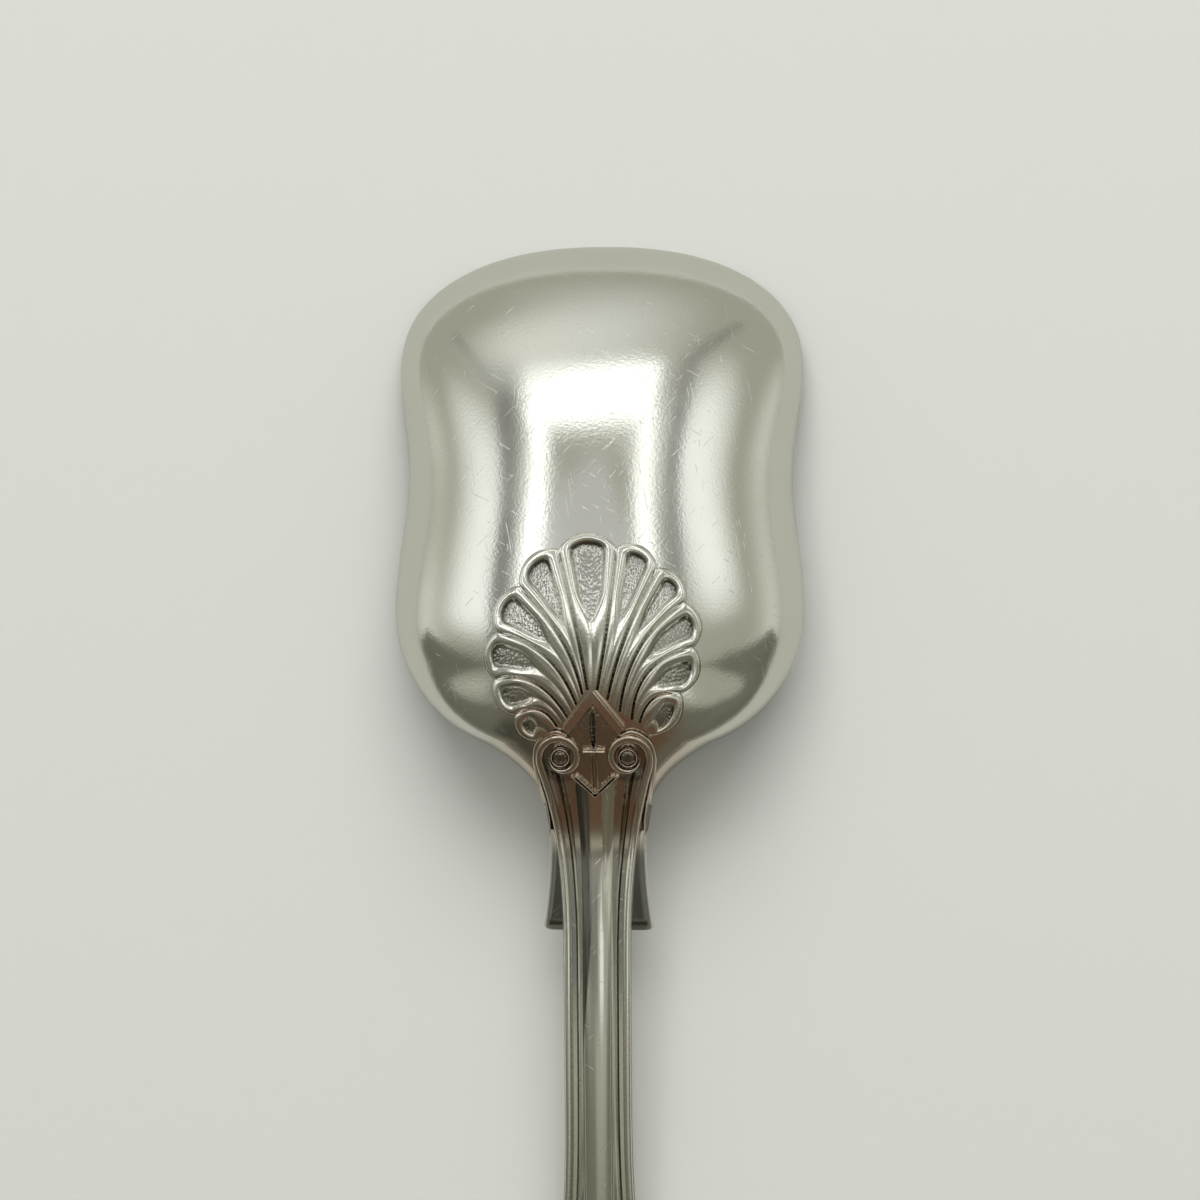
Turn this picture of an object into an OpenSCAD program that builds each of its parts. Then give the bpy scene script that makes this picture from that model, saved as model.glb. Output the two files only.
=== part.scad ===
// Sugar spoon with a scallop heel, laid face down with the back of its bowl up.
// +Y runs along the spoon to the tip of the bowl, +Z is up from the table.
// Places along the spoon are distances from the tip, called s in the functions.
// The bowl carries the scallop, the hood and the two scrolls; the stem laps over its tang.

/* [Bowl] */
// Length over all, tip of the bowl to end of the handle
overall_len = 152; // [140:1:170]
// Width of the bowl at its widest, beside the scallop
bowl_w = 40; // [36:0.5:44]
// How far each side stands in where the rounded front ends, against the widest place
front_in = 0.2; // [0:0.1:1.5]
// How far each side is drawn in at the waist
waist_in = 1.15; // [0.4:0.05:2]
// Length of the rounded front of the bowl
front_len = 12.2; // [10:0.1:14]
// Distance from the tip to the waist
waist_at = 22.7; // [19:0.1:27]
// Distance from the tip to the widest place
hip_at = 35.9; // [33:0.1:38]
// Length of the rounded shoulder behind the widest place
shoulder_len = 13.7; // [12.5:0.1:14.5]
// Width on which the rounded shoulder would close
heel_w = 12; // [10:0.5:14]
// Straight stretch across the tip
tip_flat = 4; // [2:0.5:6]
// Depth of the bowl over its back, at the deepest place
bowl_depth = 10.6; // [8:0.1:13]
// Distance from the tip to the deepest place
crown_at = 30; // [26:0.5:33]
// Thickness of the bowl's wall
wall = 1.3; // [1:0.1:1.8]
// Rounding of the lip that rests on the table
lip = 0.35; // [0.2:0.05:0.5]
// Height of the lip at the tip
tip_lip = 0.9; // [0.7:0.05:1.5]
// Distance from the tip to the end of the hollow
hollow_end = 50.3; // [49:0.1:51]

/* [Neck and tang] */
// Width of the neck at its narrowest
neck_w = 9.3; // [8:0.1:10.5]
// Distance from the tip to the narrowest place of the neck
neck_at = 57.9; // [57:0.1:59.5]
// Thickness of the spoon at the neck
neck_t = 3; // [2.6:0.1:3.6]
// Distance from the tip to the foot of the heel's slope
heel_end = 60; // [58:0.1:62]
// Height of the front face above the table at the neck
neck_rise = 5.4; // [3.5:0.1:7.5]
// Distance from the tip to the highest place of the front face
neck_top_at = 55; // [53:0.5:62]
// Distance from the tip to the lap of stem and tang
lap_at = 54.6; // [54.4:0.1:55.5]
// Slant of the end against which the stem butts, along the spoon
lap_slant = 0.5; // [0.4:0.05:0.7]
// Thickness of the tang under the stem
tang_t = 1.6; // [1.3:0.1:2]
// Distance from the tip to the square end of the fiddle shoulders
shoulders_at = 67; // [64:0.1:72]
// Width over the fiddle shoulders
shoulders_w = 10.8; // [9.5:0.1:13]
// Length of the slope that ends the fiddle shoulders
shoulders_slope = 0.8; // [0.5:0.05:1.2]

/* [Stem] */
// Width of the stem along its even stretch
stem_w = 6.6; // [5.6:0.1:7.6]
// Width of the raised stem where it meets the bowl
stem_root_w = 9.3; // [8.4:0.1:9.8]
// Distance from the tip to the start of the even stretch
even_from = 70; // [68:0.5:74]
// Distance from the tip to where the stem begins to widen
flare_from = 80; // [76:1:90]
// Length of the fiddle end over which the handle has its full width
fiddle_len = 24; // [20:1:30]
// Width of the fiddle end
fiddle_w = 17.6; // [14:0.2:22]
// Length of the fiddle end's rounding
fiddle_round = 14; // [10:0.5:18]
// Thickness of the handle at its end
end_t = 1.8; // [1.5:0.1:2.4]
// Straight stretch across the handle's end
end_flat = 3; // [1.5:0.5:5]
// Distance from the handle's end to the stretch that touches the table
rest_back = 18; // [16:0.5:20]
// Length of the stretch that touches the table
rest_len = 4; // [2:0.5:6]
// Rise of the handle's end above the table
end_rise = 2.4; // [0.5:0.1:5]
// Depth of the channels along the stem
channel_depth = 0.55; // [0.3:0.05:0.8]
// Edge rounding of the stem's front face
stem_edge = 0.5; // [0.3:0.05:0.7]

/* [Rib and threads] */
// Width of the rib down the middle of the stem
rib_w = 2.8; // [2:0.1:3]
// Height of the rib
rib_h = 0.75; // [0.4:0.05:1.1]
// Distance from the handle's end to the end of the rib
rib_back = 17; // [16.5:0.5:26]
// Width of the thread along the stem's edge
thread_w = 0.8; // [0.6:0.05:0.9]
// Height of that thread
thread_h = 0.5; // [0.3:0.05:0.8]
// Distance of the thread's middle from the stem's edge
thread_inset = 0.45; // [0.45:0.05:0.6]
// Film of solder between two pieces
solder = 0.1; // [0.08:0.01:0.15]

/* [Scrolls] */
// Distance of a scroll's eye from the middle of the spoon
scroll_x = 3.25; // [3.2:0.05:3.4]
// Distance from the tip to the scrolls' eyes
scroll_at = 50; // [49.9:0.05:50.2]
// Radius of a scroll where it leaves the thread
scroll_r = 2.12; // [2:0.02:2.2]
// Radius of the innermost turn round the eye
scroll_ring_r = 0.86; // [0.8:0.02:0.95]
// Width of the innermost turn
scroll_ring_w = 0.4; // [0.3:0.05:0.45]
// Height of a scroll over the bowl
scroll_h = 0.85; // [0.5:0.05:1.2]
// Radius of the round eye
eye_r = 0.5; // [0.35:0.05:0.55]

/* [Hood] */
// Distance from the tip to the hood's point
hood_at = 43.5; // [43.3:0.1:44]
// Distance from the tip to the hood's feet
hood_foot_at = 47.2; // [46.8:0.1:47.3]
// Width over the hood's feet
hood_w = 5.9; // [5.2:0.1:6.1]
// Width of the hood between the scrolls
hood_waist_w = 1.9; // [1.4:0.1:2]
// Distance from the tip to the ends of the chevron
chevron_at = 52.1; // [51.9:0.1:52.4]
// Width over the ends of the chevron
chevron_w = 4.4; // [3.6:0.1:4.6]
// Distance from the tip to the chevron's point
chevron_end = 54; // [53.4:0.1:54.1]
// Height of the hood's ground over the bowl
hood_ground = 0.5; // [0.35:0.05:0.7]
// Height of the hood's bands above its ground
hood_band_h = 0.55; // [0.3:0.05:0.8]

/* [Scallop] */
// Distance from the tip to the point on which the heel's lobes are centred
fan_at = 41.1; // [40.8:0.1:41.4]
// Reach of the middle lobe's notches from that point
fan_reach = 11.5; // [10:0.1:12]
// Distance from the tip to the root of the middle lobe
fan_root_at = 43.2; // [42.8:0.1:43.2]
// Distance from the tip to the scallop's two lower ends
fan_end_at = 47.9; // [47.5:0.1:48]
// Half width of the scallop at its two lower ends
fan_end_x = 5.2; // [5:0.1:5.6]
// Height of the rims round the lobes
fan_rim_h = 0.6; // [0.4:0.05:0.8]
// Height of the floor of the lobes
fan_floor_h = 0.3; // [0.2:0.05:0.35]
// Reach of the lobes on the handle's end
end_fan_reach = 6.6; // [4:0.1:6.8]
// Distance from the handle's end to the point on which the end scallop's lobes are centred
end_fan_back = 14; // [13:0.5:15]

/* [Hidden] */

// Fullness of the curves, as powers of their superellipses
tip_power = 2.25;
section_power = 2.05;
neck_power = 5;
crown_power = 2.1;
heel_power = 1.5;
hollow_power = 3;
end_power = 2.4;
flare_power = 1.9;
root_power = 2.6;
fillet_power = 2.7;

// Counts of facets
section_cols = 24;
tip_rows = 9;
body_rows = 7;
shoulder_rows = 8;
fillet_rows = 4;
tang_rows = 4;
lobe_cols = 6;

// Share of the rounded shoulder after which its fillet to the neck starts
fillet_share = 0.93;
// The ledge of the outer thread, the channel, the inner thread and its groove, across half the
// stem: share of the half width, then share of the channel's depth. At the neck, along the even
// stretch and at the fiddle end
neck_shares = [[1, 0.62], [0.84, 0.62], [0.78, 1], [0.69, 1], [0.62, 0.1], [0.55, 0.8], [0.38, 0.8], [0.32, 0]];
stem_shares = [[1, 0.62], [0.78, 0.62], [0.73, 1], [0.62, 1], [0.56, 0.35], [0.5, 0.9], [0.46, 0.9], [0.43, 0]];
fiddle_shares = [[1, 0.62], [0.86, 0.62], [0.82, 1], [0.78, 1], [0.75, 0], [0.72, 0.3], [0.69, 0], [0.4, 0]];

// The struck lobes of the heel are not quite even: bearings of the notches between them from
// the middle, left to right, and the reach of each as a share of the middle notches' reach
notch_bearings = [-142.5, -122.8, -98.9, -72.1, -42.7, -16.3, 11.5, 33.8, 55.9, 79.9, 107.7, 138.5];
notch_reach_shares = [0.8, 0.78, 0.8, 0.86, 0.89, 1, 0.99, 0.965, 0.93, 0.85, 0.77, 0.775];
// Bulge of a lobe over its chord, and bend of the flutes
lobe_bulge_share = 0.26;
flute_bend_share = 0.42;
// The roots of the lobes along the hood: share of the half width at the lower ends, then share
// of the way from the middle root to the lower ends
root_shares = [[-1, 1], [-0.72, 0.78], [0, 0], [0.72, 0.78], [1, 1]];
root_bearings = [0, 1, 5.5, 10, 11];
// Rows of a lobe from its outer edge to its root
lobe_row_shares = [1, 0.965, 0.91, 0.82, 0.68, 0.5, 0.32, 0.15, 0];

// Common curves
function mix(a, b, t) = a + (b - a) * t;
function clamp(v, lo, hi) = min(hi, max(lo, v));
function ease(t) = (1 - cos(180 * clamp(t, 0, 1))) / 2;
function round_off(t, power) = pow(max(0, 1 - pow(abs(t), power)), 1 / power);
function signed_pow(v, power) = sign(v) * pow(abs(v), power);
function along(s) = overall_len / 2 - s;
function place(x, s, z) = [x, along(s), z];

// Places along the handle that follow from its end
flare_to = overall_len - fiddle_len;
fiddle_from = overall_len - fiddle_round;
rest_to = overall_len - rest_back;
rest_from = rest_to - rest_len;
rib_to = overall_len - rib_back;
end_fan_at = overall_len - end_fan_back;

// Height of the spoon's front face over the table: the lip of the bowl, then the stem
function front_z(s) =
    s < neck_top_at ? neck_rise * sin(90 * s / neck_top_at)
    : s < rest_from ? neck_rise * (1 - ease((s - neck_top_at) / (rest_from - neck_top_at)))
    : s < rest_to ? 0
    : end_rise * (1 - cos(90 * (s - rest_to) / (overall_len - rest_to)));

// Half width of the bowl and of its tang
front_half = bowl_w / 2 - front_in;
waist_half = bowl_w / 2 - waist_in;
fillet_from = hip_at + shoulder_len * fillet_share;
function shoulder_half(s) =
    heel_w / 2 + (bowl_w - heel_w) / 2 * round_off((s - hip_at) / shoulder_len, 2);
function bowl_half(s) =
    s < front_len ? max(tip_flat / 2, front_half * round_off(1 - s / front_len, tip_power))
    : s < waist_at ? mix(front_half, waist_half, ease((s - front_len) / (waist_at - front_len)))
    : s < hip_at ? mix(waist_half, bowl_w / 2, ease((s - waist_at) / (hip_at - waist_at)))
    : s < fillet_from ? shoulder_half(s)
    : s < neck_at ? neck_w / 2 + (shoulder_half(fillet_from) - neck_w / 2)
        * pow((neck_at - s) / (neck_at - fillet_from), fillet_power)
    : neck_w / 2 + (shoulders_w - neck_w) / 2 * pow((s - neck_at) / (shoulders_at - neck_at), 2);

// Thickness over the middle, from the front face to the back
function back_over(s) =
    s < crown_at ? max(tip_lip, bowl_depth * round_off(1 - s / crown_at, crown_power))
    : s < heel_end ? mix(bowl_depth, neck_t, ease(pow((s - crown_at) / (heel_end - crown_at), heel_power)))
    : mix(neck_t, end_t, ease((s - heel_end) / (overall_len - heel_end)));

// Power of the bowl's section: round over the bowl, flat topped at the neck
function section_at(s) = mix(section_power, neck_power, ease((s - fan_at) / (lap_at - fan_at)));

// Height of the spoon's back over the table
function back_z(x, s) =
    front_z(s) + back_over(s) * round_off(min(1, abs(x) / bowl_half(s)), section_at(s));

// Half width and depth of the hollow
function hollow_half(s) =
    s < front_len ? (front_half - wall) * round_off(1 - (s - wall) / (front_len - wall), tip_power)
    : s < hip_at ? bowl_half(s) - wall
    : (bowl_w / 2 - wall) * round_off((s - hip_at) / (hollow_end - hip_at), 2);
function hollow_over(s) =
    s < crown_at ? (bowl_depth - wall) * round_off(1 - (s - wall) / (crown_at - wall), crown_power)
    : (back_over(s) - wall) * round_off((s - crown_at) / (hollow_end - crown_at), hollow_power);

// Half width of the raised stem, which the scrolls' threads follow up to the bowl
function stem_half(s) =
    s < even_from ? stem_w / 2 + (stem_root_w - stem_w) / 2
        * pow((even_from - s) / (even_from - lap_at), root_power)
    : s < flare_to ? mix(stem_w, fiddle_w, pow(ease((s - flare_from) / (flare_to - flare_from)), flare_power)) / 2
    : s < fiddle_from ? fiddle_w / 2
    : max(end_flat / 2, fiddle_w / 2 * round_off((s - fiddle_from) / fiddle_round, end_power));

// Height of the seat on which threads and rib are soldered
ledge_drop = stem_shares[0][1] * channel_depth;
function stem_top(s) = front_z(s) + back_over(s);
function seat_z(x, s) =
    s < lap_at ? back_z(x, s)
    : s < lap_at + lap_slant ? max(back_z(x, s), stem_top(s) - ledge_drop)
    : stem_top(s) - ledge_drop;

// A solid between an upper and a lower grid of points, rows running down the spoon
module between(upper, lower) {
    rows = len(upper);
    cols = len(upper[0]);
    half = rows * cols;
    points = concat([for (row = upper) each row], [for (row = lower) each row]);
    polyhedron(points, concat(
        [for (i = [0:rows - 2], j = [0:cols - 2]) each
            split(i * cols + j, i * cols + j + 1, (i + 1) * cols + j + 1, (i + 1) * cols + j)],
        [for (i = [0:rows - 2], j = [0:cols - 2]) each
            split(half + (i + 1) * cols + j, half + (i + 1) * cols + j + 1,
                  half + i * cols + j + 1, half + i * cols + j)],
        [for (i = [0:rows - 2]) each
            split(i * cols, (i + 1) * cols, half + (i + 1) * cols, half + i * cols)],
        [for (i = [0:rows - 2]) each
            split((i + 2) * cols - 1, (i + 1) * cols - 1,
                  half + (i + 1) * cols - 1, half + (i + 2) * cols - 1)],
        [for (j = [0:cols - 2]) each split(j + 1, j, half + j, half + j + 1)],
        [for (j = [0:cols - 2]) each
            split(half - cols + j, half - cols + j + 1, 2 * half - cols + j + 1, 2 * half - cols + j)]
    ));
}
function split(a, b, c, d) = [[a, b, c], [a, c, d]];
function flipped(grid) =
    [for (row = grid) [for (j = [len(row) - 1:-1:0]) [-row[j].x, row[j].y, row[j].z]]];

// Bowl: a thin shell with a rounded lip, which runs out into the flat tang
tang_end = shoulders_at - shoulders_slope;
function with_stops(rows, a, b) =
    concat([for (s = rows) if (s < a - lip) s], [a, b], [for (s = rows) if (s > b + lip) s]);
bowl_rows = with_stops(with_stops(concat(
    [for (k = [0:tip_rows]) front_len * (1 - cos(90 * k / tip_rows))],
    [for (k = [1:body_rows]) mix(front_len, hip_at, k / body_rows)],
    [for (k = [1:shoulder_rows]) mix(hip_at, fillet_from, sin(90 * k / shoulder_rows))],
    [for (k = [1:fillet_rows]) mix(fillet_from, lap_at, k / fillet_rows)]),
    wall, wall + lip), hollow_end - lip, hollow_end);
tang_stations = concat(
    [for (k = [0:tang_rows]) mix(lap_at + lap_slant, tang_end, k / tang_rows)],
    [shoulders_at]);

function bowl_upper(s) = [for (j = [0:section_cols])
    let(a = 180 * j / section_cols - 90, p = 2 / section_at(s))
    place(bowl_half(s) * signed_pow(sin(a), p), s,
          front_z(s) + max(lip, back_over(s) * pow(abs(cos(a)), p)))];
function bowl_lower(s) = [for (j = [0:section_cols])
    let(a = 180 * (j - 1) / (section_cols - 2) - 90,
        p = 2 / section_power,
        open = s > wall && s < hollow_end,
        half = open ? hollow_half(s)
            : min(hollow_half(s < hip_at ? wall + lip : hollow_end - lip), bowl_half(s) - 2 * lip),
        deep = open ? hollow_over(s) : 0)
    j == 0 || j == section_cols
    ? place((bowl_half(s) - lip) * (j == 0 ? -1 : 1), s, front_z(s))
    : place(half * signed_pow(sin(a), p), s, front_z(s) + deep * pow(abs(cos(a)), p))];
function tang_upper(s) = [for (j = [0:section_cols])
    let(u = 2 * j / section_cols - 1, toe = s > tang_end ? lip / 2 : tang_t)
    place(bowl_half(s) * u, s, front_z(s) + toe * (abs(u) < 1 ? 1 : 1 / 2))];
function tang_lower(s) = [for (j = [0:section_cols])
    place((bowl_half(s) - lip) * (2 * j / section_cols - 1), s, front_z(s))];

module bowl() {
    color("silver")
        between(concat([for (s = bowl_rows) bowl_upper(s)], [for (s = tang_stations) tang_upper(s)]),
                concat([for (s = bowl_rows) bowl_lower(s)], [for (s = tang_stations) tang_lower(s)]));
}

// Stem: a bar with channels along both sides of its middle, lapped over the tang
stem_from = lap_at + 3 * solder;
lap_rows = 4;
even_rows = 5;
flare_rows = 6;
end_rows = 8;
slow_flare_share = 0.2;
slow_flare_to = mix(flare_from, flare_to, slow_flare_share);
stem_rows = concat(
    [stem_from],
    [for (k = [0:lap_rows]) mix(lap_at + 2 * lap_slant, tang_end, k / lap_rows)],
    [shoulders_at + solder, even_from],
    [for (k = [1:even_rows]) mix(even_from, slow_flare_to, k / even_rows)],
    [for (k = [1:flare_rows]) mix(slow_flare_to, flare_to, k / flare_rows)],
    [rest_from, rest_to, fiddle_from],
    [for (k = [1:end_rows]) fiddle_from + fiddle_round * sin(90 * k / end_rows)]);
function half_section(s) = [for (k = [0:len(stem_shares) - 1])
    s < flare_from ? mix(neck_shares[k], stem_shares[k], ease((s - lap_at) / (even_from - lap_at)))
    : mix(stem_shares[k], fiddle_shares[k], ease((s - flare_from) / (flare_to - flare_from)))];
function stem_upper(s) =
    let(half = half_section(s), n = len(half), r = stem_half(s))
    concat([for (k = [0:n - 1]) place(-half[k][0] * r, s, stem_top(s) - half[k][1] * channel_depth)],
           [place(0, s, stem_top(s))],
           [for (k = [n - 1:-1:0]) place(half[k][0] * r, s, stem_top(s) - half[k][1] * channel_depth)]);
function stem_under_z(s) = s < tang_end + solder ? front_z(s) + tang_t + solder : front_z(s);
function stem_lower(s, shift) =
    let(n = 2 * len(stem_shares), r = stem_half(s) - stem_edge)
    [for (k = [0:n]) place(r * (2 * k / n - 1), s + shift, stem_under_z(s + shift))];

module stem() {
    color("gainsboro")
        between([for (s = stem_rows) stem_upper(s)],
                [for (s = stem_rows) stem_lower(s, s == stem_from ? lap_slant - 2 * solder : 0)]);
}

// Rib: half round, down the middle of the stem's back, fading out at its lower end
rib_from = chevron_end + 2 * solder;
rib_rows = 28;
rib_cols = 8;
rib_fade_len = 11;
rib_tip_share = 0.3;
rib_stations = [for (k = [0:rib_rows]) mix(rib_from, rib_to, k / rib_rows)];
function rib_share(s) = mix(rib_tip_share, 1, ease((rib_to - s) / rib_fade_len));
function rib_row(s, lift) = [for (j = [0:rib_cols]) let(a = 180 * j / rib_cols - 90)
    place(rib_w / 2 * rib_share(s) * sin(a), s,
          stem_top(s) + solder + lift * (solder + (rib_h * rib_share(s) - solder) * cos(a)))];
module centre_rib() {
    color("silver")
        between([for (s = rib_stations) rib_row(s, 1)], [for (s = rib_stations) rib_row(s, 0)]);
}

// Scroll: a thread that runs up the stem's edge, over the heel and round an eye
scroll_start = -360;
scroll_leave = 200;
scroll_steps = 28;
scroll_power = 1.15;
run_steps = 8;
end_steps = 9;
end_turn = 84;
function scroll_radius(a) =
    mix(scroll_ring_r, scroll_r, pow((a - scroll_start) / (scroll_leave - scroll_start), scroll_power));
scroll_path = [for (k = [0:scroll_steps]) let(a = mix(scroll_start, scroll_leave, k / scroll_steps))
    [-scroll_x + scroll_radius(a) * cos(a), scroll_at - scroll_radius(a) * sin(a)]];
run_from = scroll_at - scroll_r * sin(scroll_leave);
run_path = [for (s = concat([for (k = [1:run_steps]) mix(run_from, even_from, k / run_steps)],
                            [for (s = stem_rows) if (s > even_from && s <= fiddle_from) s]))
    [-(stem_half(s) - thread_inset), s]];
end_path = [for (k = [1:end_steps]) let(a = end_turn * k / end_steps)
    [-(fiddle_w / 2 - thread_inset) * pow(cos(a), 2 / end_power),
     fiddle_from + (fiddle_round - thread_inset) * pow(sin(a), 2 / end_power)]];
thread_path = concat(scroll_path, run_path, end_path, [[-solder, overall_len - thread_inset]]);
// The thread's rounded section: share of its half width, then share of its height
thread_shares = [[-1, 0.35], [-0.55, 0.9], [0, 1], [0.55, 0.9], [1, 0.35]];

function path_across(k) =
    let(a = thread_path[max(0, k - 1)], b = thread_path[min(len(thread_path) - 1, k + 1)],
        d = b - a)
    [d.y, d.x] / norm(d);
function wound(k) = clamp(k / (len(scroll_path) - 1), 0, 1);
function thread_grid(lift) = [for (k = [0:len(thread_path) - 1])
    let(across = path_across(k),
        half = mix(scroll_ring_w, thread_w, wound(k)) / 2,
        high = mix(scroll_h, thread_h, ease(2 * wound(k) - 1)))
    [for (share = thread_shares)
        let(p = thread_path[k] + across * half * share[0])
        place(p.x, p.y, max(seat_z(p.x, p.y), seat_z(thread_path[k].x, thread_path[k].y))
              + solder + lift * high * share[1])]];
// The eye is a dome, a square grid drawn in to a disc that follows the back of the bowl
eye_cells = 8;
eye_edge_share = 0.4;
function eye_grid(lift) = [for (i = [0:eye_cells]) [for (j = [0:eye_cells])
    let(u = 2 * j / eye_cells - 1, v = 2 * i / eye_cells - 1,
        disc = [u * sqrt(1 - v * v / 2), v * sqrt(1 - u * u / 2)],
        p = [-scroll_x, scroll_at] + eye_r * disc)
    place(p.x, p.y, back_z(p.x, p.y) + solder
          + lift * (scroll_h - solder) * mix(eye_edge_share, 1, round_off(norm(disc), 2)))]];
module left_scroll() {
    color("silver")
        between(thread_grid(1), thread_grid(0));
    color("silver")
        between(eye_grid(1), eye_grid(0));
}
module right_scroll() {
    color("silver")
        between(flipped(thread_grid(1)), flipped(thread_grid(0)));
    color("silver")
        between(flipped(eye_grid(1)), flipped(eye_grid(0)));
}

// Hood: a pointed arch with a raised band, over a spindle that ends in a chevron
hood_narrow_share = 0.45;
hood_outline = [[hood_at, solder], [hood_foot_at, hood_w / 2],
                [mix(hood_foot_at, scroll_at, hood_narrow_share), hood_waist_w / 2],
                [scroll_at + scroll_ring_r, hood_waist_w / 2],
                [chevron_at, chevron_w / 2], [chevron_end, solder]];
hood_steps = 4;
hood_stations = [for (k = [0:len(hood_outline) - 2], t = [0:hood_steps - 1])
    mix(hood_outline[k][0], hood_outline[k + 1][0], t / hood_steps), chevron_end];
function hood_half(s) = lookup(s, hood_outline);
hood_cols = 12;
// Bands as shares of the hood's width, and heights as shares of the band's height
hood_band_share = 0.17;
chevron_band_share = 0.1;
spindle_w_share = 0.1;
spindle_h_share = 0.6;
chevron_h_share = 0.8;
function hood_relief(x, s) =
    let(edge = hood_half(s) - x, spindle = x < hood_w * spindle_w_share / 2 ? spindle_h_share : 0)
    s < hood_foot_at ? (edge < hood_w * hood_band_share ? 1 : spindle)
    : s < chevron_at ? spindle
    : edge < hood_w * chevron_band_share ? chevron_h_share : 0;
function hood_row(s, lift) = [for (j = [0:hood_cols]) let(x = (2 * j / hood_cols - 1) * hood_half(s))
    place(x, s, back_z(x, s) + solder + lift * (hood_ground + hood_band_h * hood_relief(abs(x), s)))];
module hood() {
    color("silver")
        between([for (s = hood_stations) hood_row(s, 1)], [for (s = hood_stations) hood_row(s, 0)]);
}

// Scallop: lobes that fan out from their roots, each rimmed and hollowed
function fan_dir(a) = [sin(a), -cos(a)];
function notch(k) = [0, fan_at] + fan_reach * notch_reach_shares[k] * fan_dir(notch_bearings[k]);
lobes = len(notch_bearings) - 1;
lobe_power = 0.75;
function lobe_edge(c) =
    let(k = min(lobes - 1, floor(c)), t = c - k, a = notch(k), b = notch(k + 1), d = b - a)
    a + d * t + [d.y, -d.x] * lobe_bulge_share * pow(sin(180 * t), lobe_power);
root_x_table = [for (k = [0:len(root_bearings) - 1]) [root_bearings[k], root_shares[k][0] * fan_end_x]];
root_s_table = [for (k = [0:len(root_bearings) - 1])
    [root_bearings[k], mix(fan_root_at, fan_end_at, root_shares[k][1])]];
function lobe_root(c) = [lookup(c, root_x_table), lookup(c, root_s_table)];
function fan_point(c, b) =
    let(root = lobe_root(c), tip = lobe_edge(c), bend = mix([0, fan_at], tip, flute_bend_share))
    root * pow(1 - b, 2) + bend * 2 * b * (1 - b) + tip * b * b;
// Relief over a lobe's floor, as shares of its rim's height: in the rows at its edge, then
// column by column across the hollowed panel, then across the flutes that lead to its root
edge_relief_shares = [0.5, 1];
panel_relief_shares = [0.45, 1, 0, 0, 0, 1];
flute_relief_shares = [0.45, 1, 0.3, 0.8, 0.3, 1];
panel_to_row = 5;
function lobe_relief(row, col) =
    row < len(edge_relief_shares) ? edge_relief_shares[row]
    : (row < panel_to_row ? panel_relief_shares : flute_relief_shares)[col % lobe_cols];
fan_rows = len(lobe_row_shares);
fan_cols = lobes * lobe_cols;
function fan_grid(lift) = [for (i = [0:fan_rows - 1]) [for (j = [0:fan_cols])
    let(p = fan_point(j / lobe_cols, lobe_row_shares[i]))
    place(p.x, p.y, back_z(p.x, p.y) + solder
          + lift * mix(fan_floor_h, fan_rim_h, lobe_relief(i, j)))]];
module heel_scallop() {
    color("silver")
        between(fan_grid(1), fan_grid(0));
}

// Small scallop on the handle's end, opening towards the end
end_lobes = 7;
end_bearing = 92;
end_cols = 4;
end_hinge_share = 0.2;
end_notch_share = 0.1;
end_side_share = 0.7;
end_row_shares = [1, 0.94, 0.85, 0.6, 0.3, 0];
end_panel_shares = [0.7, 0.2, 0, 0.2];
end_flute_shares = [0.3, 0.7, 1, 0.7];
end_panel_to_row = 4;
function end_fan_point(c, b) =
    let(a = mix(end_bearing, -end_bearing, c / end_lobes),
        lobe = 1 - end_notch_share * (1 - pow(sin(180 * (c - floor(c))), lobe_power)),
        reach = lobe * mix(end_side_share, 1, cos(a / 2)))
    [0, end_fan_at] + end_fan_reach * mix(end_hinge_share, reach, b) * [sin(a), cos(a)];
function end_relief(row, col) =
    row < len(edge_relief_shares) ? edge_relief_shares[row]
    : (row < end_panel_to_row ? end_panel_shares : end_flute_shares)[col % end_cols];
function end_grid(lift) = [for (i = [0:len(end_row_shares) - 1]) [for (j = [0:end_lobes * end_cols])
    let(p = end_fan_point(j / end_cols, end_row_shares[i]))
    place(p.x, p.y, stem_top(p.y) + solder
          + lift * mix(fan_floor_h, fan_rim_h, end_relief(i, j)))]];
module end_scallop() {
    color("silver")
        between(end_grid(1), end_grid(0));
}

bowl();
stem();
centre_rib();
left_scroll();
right_scroll();
hood();
heel_scallop();
end_scallop();
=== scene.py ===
import bmesh
import bpy
import numpy as np
from mathutils import Matrix, Vector


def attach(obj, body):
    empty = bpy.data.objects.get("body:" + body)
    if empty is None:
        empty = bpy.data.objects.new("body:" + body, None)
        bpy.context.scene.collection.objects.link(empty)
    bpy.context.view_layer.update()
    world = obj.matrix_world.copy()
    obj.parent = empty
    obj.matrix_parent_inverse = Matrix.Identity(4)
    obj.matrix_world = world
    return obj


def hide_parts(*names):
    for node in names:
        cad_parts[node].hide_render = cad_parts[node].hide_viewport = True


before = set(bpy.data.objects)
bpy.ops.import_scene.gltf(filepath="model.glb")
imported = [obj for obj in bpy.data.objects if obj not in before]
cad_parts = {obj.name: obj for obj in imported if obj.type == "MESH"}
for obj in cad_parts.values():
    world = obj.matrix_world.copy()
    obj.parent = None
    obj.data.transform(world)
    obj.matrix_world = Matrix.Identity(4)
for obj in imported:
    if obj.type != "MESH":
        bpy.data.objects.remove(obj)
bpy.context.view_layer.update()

# Bowl: one sheet of nickel silver, raised over a former to a deep bowl with a rounded lip and
# drawn out behind the heel into the flat tang under the stem. It is silver plated and polished,
# and long use has left fine scratches and a grey bloom on it.

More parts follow.
